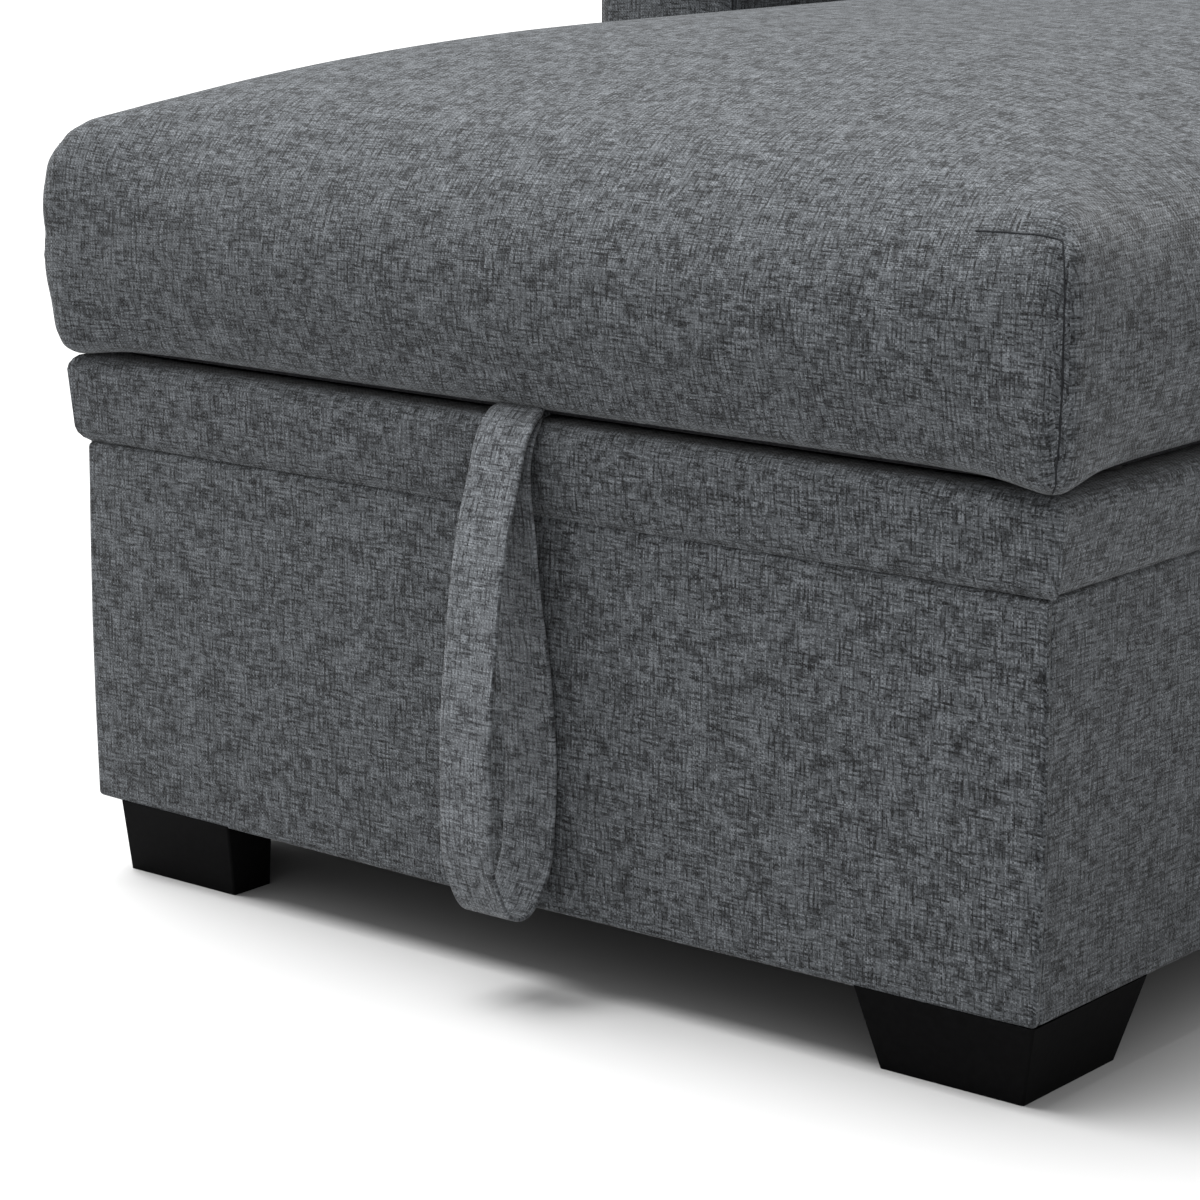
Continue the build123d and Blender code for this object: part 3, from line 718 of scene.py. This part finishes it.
thick.offset = 0
folded = strap.modifiers.new("folded", "BEVEL")
folded.width = strap_thick * 0.35
folded.segments = 2
folded.limit_method = "ANGLE"
folded.angle_limit = radians(60)
settle(strap)
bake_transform(strap)
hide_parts("pull_strap", "strap_tail")


# Arm: a box of padded cloth over a timber frame, with sewn edges round its front and rear panels.
# It stands on two feet of its own and is bolted to the left side of the box through spacers.
arm_roll = 0.014
arm_fullness = 0.0035
arm_ripple = 0.6
edge_thread = 0.0007
arm_lo, arm_hi = corners("arm_cover")
bm = padded_board(arm_lo, arm_hi, arm_roll)
swell(bm, arm_lo, arm_hi, arm_fullness, arm_ripple)
arm = add_piece("arm_cloth", bm, cover_cloth)
for end, y in (("front", arm_lo.y), ("rear", arm_hi.y)):
    low, high = arm_lo.z + arm_roll, arm_hi.z
    route = [
        Vector((arm_lo.x, y, low)),
        Vector((arm_lo.x, y, high)),
        Vector((arm_hi.x, y, high)),
        Vector((arm_hi.x, y, low)),
    ]
    seam_thread(f"arm_seam_{end}", arm, route, edge_thread, "base")
upholster(arm, "arm_cover", "base")


# Back: a raked upright of the same cloth over a timber frame, padded in front and closed behind.
# It stands behind the rear panel, steps back level with that panel's top and leans back from there.
back_rake = radians(10)
back_thick = 0.075
back_foot = 0.104
back_roll = 0.012
back_fullness = 0.003
back_ripple = 0.6
back_lo, back_hi = corners("back_cover")
rear_panel_top = corners("rear_panel")[1].z
ledge_y = back_hi.y - back_thick - (back_hi.z - board_lo.z) * tan(back_rake)
low_rear_y = back_lo.y + back_foot
back_outline = [
    (back_lo.y, back_lo.z),
    (back_lo.y, rear_panel_top),
    (ledge_y, rear_panel_top),
    (back_hi.y - back_thick, back_hi.z),
    (back_hi.y, back_hi.z),
    (low_rear_y, board_lo.z),
    (low_rear_y, back_lo.z),
]
bm = bmesh.new()
side = bm.faces.new([bm.verts.new((back_lo.x, y, z)) for y, z in back_outline])
grown = bmesh.ops.extrude_face_region(bm, geom=[side])["geom"]
far_verts = [part for part in grown if isinstance(part, bmesh.types.BMVert)]
bmesh.ops.translate(bm, verts=far_verts, vec=(back_hi.x - back_lo.x, 0, 0))
bmesh.ops.recalc_face_normals(bm, faces=bm.faces[:])
roll_edges(bm, back_roll)
cut_in_rows(bm, back_lo, back_hi)
swell(bm, back_lo, back_hi, back_fullness, back_ripple)
back = add_piece("back_cloth", bm, cover_cloth)
for end, x in (("left", back_lo.x), ("right", back_hi.x)):
    route = [Vector((x, y, z)) for y, z in back_outline[2:]]
    seam_thread(f"back_seam_{end}", back, route, edge_thread, "base")
upholster(back, "back_cover", "base")


# Back cushion: a loose plump cushion of the same cloth that leans on the back and stands on the seat.
# Its cover is blown up over a soft filling and sewn round its edge.
pillow_voxel = 0.008
pillow_shrink = 0.004
pillow_pressure = 4.0
pillow_growth = 0.008
pillow_firm = 0.120
pillow_thread = 0.0011
half_turn_steps = 12
pillow_foot = corners("back_cushion")[0].z


def pillow_freedom(spot):
    """The loose cushion's cover is held low down, where it stands on the seat."""
    return max(0.0, min(1.0, (spot.z - pillow_foot) / pillow_firm))


pillow = stuffed(
    soft_copy("back_cushion"), "back_cushion_cloth",
    pillow_voxel, pillow_shrink, pillow_pressure, pillow_growth, pillow_freedom,
)
up_the_back = Vector((0, sin(back_rake), cos(back_rake)))
places = [vert.co.copy() for vert in pillow.data.vertices]
pillow_edge = []
for step in range(2 * half_turn_steps + 1):
    angle = step * pi / half_turn_steps
    outward = Vector((1, 0, 0)) * cos(angle) + up_the_back * sin(angle)
    pillow_edge.append(max(places, key=lambda place: place.dot(outward)))
seam_thread("back_cushion_seam", pillow, pillow_edge, pillow_thread, "back_cushion")
upholster(pillow, "back_cushion", "back_cushion")


# Linings: thin black felted cloth, cut flat and stapled, so it stays a little slack. One sheet closes the
# base from below, one covers the lid board's underside and three hang inside the box. A strip lies under the
# hinges, turned down behind the rear panel, and another goes round the lid board's edges, turned under.
felt_thick = 0.0008
felt_rows = 28
felt_ripple = 7
slack_even, slack_uneven = 0.6, 0.4
sheet_inset = 0.0005
felt_offset = 0.0006
dust_slack = 0.004
lid_slack = 0.0004
box_slack = 0.003
block_width = 0.050
turned_down = 0.016
turned_under = 0.030
felt, tree, shader = finish_named("felt", roughness=0.95, specular=0.1)
where = add(tree, "ShaderNodeTexCoord").outputs["Object"]
dots = add(tree, "ShaderNodeTexVoronoi", {"Vector": where, "Scale": 380.0}).outputs[0]
fibres = reckoned(tree, "MULTIPLY", speckled(tree, scale=900.0, detail=3.0), dots)
toned(tree, shader, fibres, (0.006, 0.006, 0.007, 1), (0.034, 0.034, 0.037, 1))
raised(tree, shader, fibres, strength=0.3, depth=0.0004)


def hang_felt(bm, lo, hi, face_axis, face, slack):
    """A sheet across a box on one face of it, slack towards that face's outside."""
    spans = [axis for axis in range(3) if axis != face_axis]
    start = set(bm.verts)
    bmesh.ops.create_grid(bm, x_segments=felt_rows, y_segments=felt_rows, size=0.5)
    fresh = [vert for vert in bm.verts if vert not in start]
    for vert in fresh:
        across, along = vert.co.x + 0.5, vert.co.y + 0.5
        spot = Vector((0, 0, 0))
        spot[spans[0]] = lo[spans[0]] + (hi[spans[0]] - lo[spans[0]]) * across
        spot[spans[1]] = lo[spans[1]] + (hi[spans[1]] - lo[spans[1]]) * along
        held = (16 * across * (1 - across) * along * (1 - along)) ** 0.5
        spot[face_axis] = face
        spot[face_axis] += slack * held * (slack_even + slack_uneven * noise.noise(spot * felt_ripple))
        vert.co = spot


def felt_piece(name, bm, node, body):
    """Finishes a lining: thickness, finish, the node it hides if any, and the body it joins."""
    bmesh.ops.recalc_face_normals(bm, faces=bm.faces[:])
    piece = add_piece(name, bm, felt)
    wall = piece.modifiers.new("wall", "SOLIDIFY")
    wall.thickness = felt_thick
    wall.offset = 0
    settle(piece)
    if node:
        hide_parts(node)
    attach(piece, body)


lo, hi = corners("dust_cover")
bm = bmesh.new()
hang_felt(bm, lo, hi, face_axis=2, face=lo.z + sheet_inset, slack=-dust_slack)
felt_piece("dust_cover_felt", bm, "dust_cover", "base")

lo, hi = corners("lid_lining")
bm = bmesh.new()
hang_felt(bm, lo, hi, face_axis=2, face=lo.z + sheet_inset, slack=lid_slack)
felt_piece("lid_lining_felt", bm, "lid_lining", "lid")

lo, hi = corners("storage_lining")
front_start = Vector((lo.x + block_width, lo.y, lo.z))
front_end = Vector((hi.x - block_width, lo.y, hi.z))
side_start = Vector((lo.x, lo.y + block_width, lo.z))
bm = bmesh.new()
hang_felt(bm, front_start, front_end, face_axis=1, face=lo.y + felt_offset, slack=box_slack)
hang_felt(bm, side_start, hi, face_axis=0, face=lo.x + felt_offset, slack=box_slack)
hang_felt(bm, side_start, hi, face_axis=0, face=hi.x - felt_offset, slack=-box_slack)
felt_piece("storage_lining_felt", bm, "storage_lining", "base")

panel_lo, hi = corners("rear_panel")
rail_start = corners("hinge_rail")[0].y
lo = Vector((panel_lo.x, rail_start, hi.z - turned_down))
bm = bmesh.new()
hang_felt(bm, lo, hi, face_axis=2, face=hi.z + felt_offset, slack=0.0)
hang_felt(bm, lo, hi, face_axis=1, face=hi.y + felt_offset, slack=0.0)
felt_piece("rail_felt", bm, None, "base")

bm = bmesh.new()
for axis, out in ((0, -1), (0, 1), (1, -1), (1, 1)):
    lo, hi = board_lo.copy(), board_hi.copy()
    edge = hi[axis] if out > 0 else lo[axis]
    hang_felt(bm, lo, hi, face_axis=axis, face=edge + out * felt_offset, slack=0.0)
    if out > 0:
        lo[axis] = edge - turned_under
    else:
        hi[axis] = edge + turned_under
    if axis == 0:
        lo.y += turned_under
        hi.y -= turned_under
    hang_felt(bm, lo, hi, face_axis=2, face=board_lo.z - felt_offset, slack=0.0)
felt_piece("lid_edge_felt", bm, None, "lid")


# Boards of the box and the lid: birch plywood, pale, with long open grain along the board.
# The panels are glued to blocks in the corners, and the storage floor lies on cleats between them.
def plywood(name, scale):
    """Plywood whose grain is drawn out along the axis of the smallest scale."""
    made, tree, shader = finish_named(name, roughness=0.62, specular=0.3)
    where = add(tree, "ShaderNodeTexCoord").outputs["Object"]
    drawn = add(tree, "ShaderNodeMapping", {"Vector": where, "Scale": scale}).outputs[0]
    values = {"Vector": drawn, "Scale": 6.0, "Detail": 6.0, "Distortion": 0.4}
    grain = add(tree, "ShaderNodeTexNoise", values).outputs[0]
    tones = toned(tree, shader, grain, (0.45, 0.31, 0.18, 1), (0.62, 0.47, 0.30, 1))
    tones[0].position = 0.3
    tones[1].position = 0.72
    raised(tree, shader, grain, strength=0.15, depth=0.0006)
    return made


dress(plywood("plywood_long", (30.0, 1.2, 30.0)), "left_panel", "right_panel", "storage_floor", "lid_board")
dress(plywood("plywood_across", (1.2, 30.0, 30.0)), "front_panel", "rear_panel")


# Frame timber: sawn pine, yellower than the boards, with growth rings and saw marks.
# It makes the blocks, cleats, battens and hinge rail, and the frames inside the arm and the back.
timber, tree, shader = finish_named("timber", roughness=0.7, specular=0.25)
where = add(tree, "ShaderNodeTexCoord").outputs["Object"]
drawn = add(tree, "ShaderNodeMapping", {"Vector": where, "Scale": (1.0, 0.12, 0.35)}).outputs[0]
values = {"Vector": drawn, "Scale": 38.0, "Distortion": 5.0, "Detail": 3.0, "Detail Scale": 1.4}
rings = add(tree, "ShaderNodeTexWave", values, wave_type="RINGS").outputs[1]
toned(tree, shader, rings, (0.66, 0.49, 0.28, 1), (0.55, 0.37, 0.19, 1))
raised(tree, shader, speckled(tree, scale=320.0), strength=0.2, depth=0.0005)
dress(timber, "corner_blocks", "floor_cleats", "hinge_rail", "lid_battens")
dress(timber, "arm_frame", "back_frame", "arm_spacers")


# Hinges, brackets, clamp and bolts: steel with a bright zinc coat, blotched and a little scuffed.
# The hinges join the lid board to the rail, and the brackets carry the struts' ends on the box and the lid.
def dulled(tree, shader, pattern, bright, dull):
    """Varies how rough a finish is by its pattern."""
    rough = stretched(tree, pattern, low=0.3, high=0.7, to_low=bright, to_high=dull)
    tree.links.new(rough, shader.inputs["Roughness"])


zinc, tree, shader = finish_named("zinc", roughness=0.34, metallic=1.0)
bloom = speckled(tree, scale=45.0, detail=4.0)
toned(tree, shader, bloom, (0.42, 0.43, 0.45, 1), (0.68, 0.69, 0.70, 1))
scuffs = speckled(tree, scale=260.0, detail=3.0)
dulled(tree, shader, scuffs, bright=0.26, dull=0.48)
dress(zinc, "foot_bolts", "arm_bolts", "strap_clamp")
for side in ("left", "right"):
    dress(zinc, f"hinge_base_leaf_{side}", f"hinge_lid_leaf_{side}", f"hinge_pin_{side}")
    dress(zinc, f"strut_base_bracket_{side}", f"strut_lid_bracket_{side}")


# Gas struts: a tube in satin black paint and a hard chrome rod with an oil film, one pair at each side.
# The tube turns on a bracket inside the box, and the rod's eye on one under the lid.
tube_paint, tree, shader = finish_named("tube_paint", roughness=0.38, specular=0.5)
orange_peel = speckled(tree, scale=420.0)
toned(tree, shader, orange_peel, (0.010, 0.010, 0.011, 1), (0.026, 0.026, 0.027, 1))
raised(tree, shader, orange_peel, strength=0.12, depth=0.0003)
dress(tube_paint, "strut_tube_left", "strut_tube_right")

rod_chrome, tree, shader = finish_named("rod_chrome", roughness=0.08, metallic=1.0)
shader.inputs["Base Color"].default_value = (0.72, 0.73, 0.75, 1)
oil_film = speckled(tree, scale=90.0, detail=3.0)
dulled(tree, shader, oil_film, bright=0.05, dull=0.16)
dress(rod_chrome, "strut_rod_left", "strut_rod_right")


# Buffers: soft black rubber buttons, moulded, with a dusty skin.
# They are fixed under the lid board and let it down softly on the rim.
buffer_rubber, tree, shader = finish_named("buffer_rubber", roughness=0.8, specular=0.3)
dust = speckled(tree, scale=300.0, detail=4.0)
toned(tree, shader, dust, (0.010, 0.010, 0.010, 1), (0.034, 0.034, 0.033, 1))
dress(buffer_rubber, "lid_buffers")
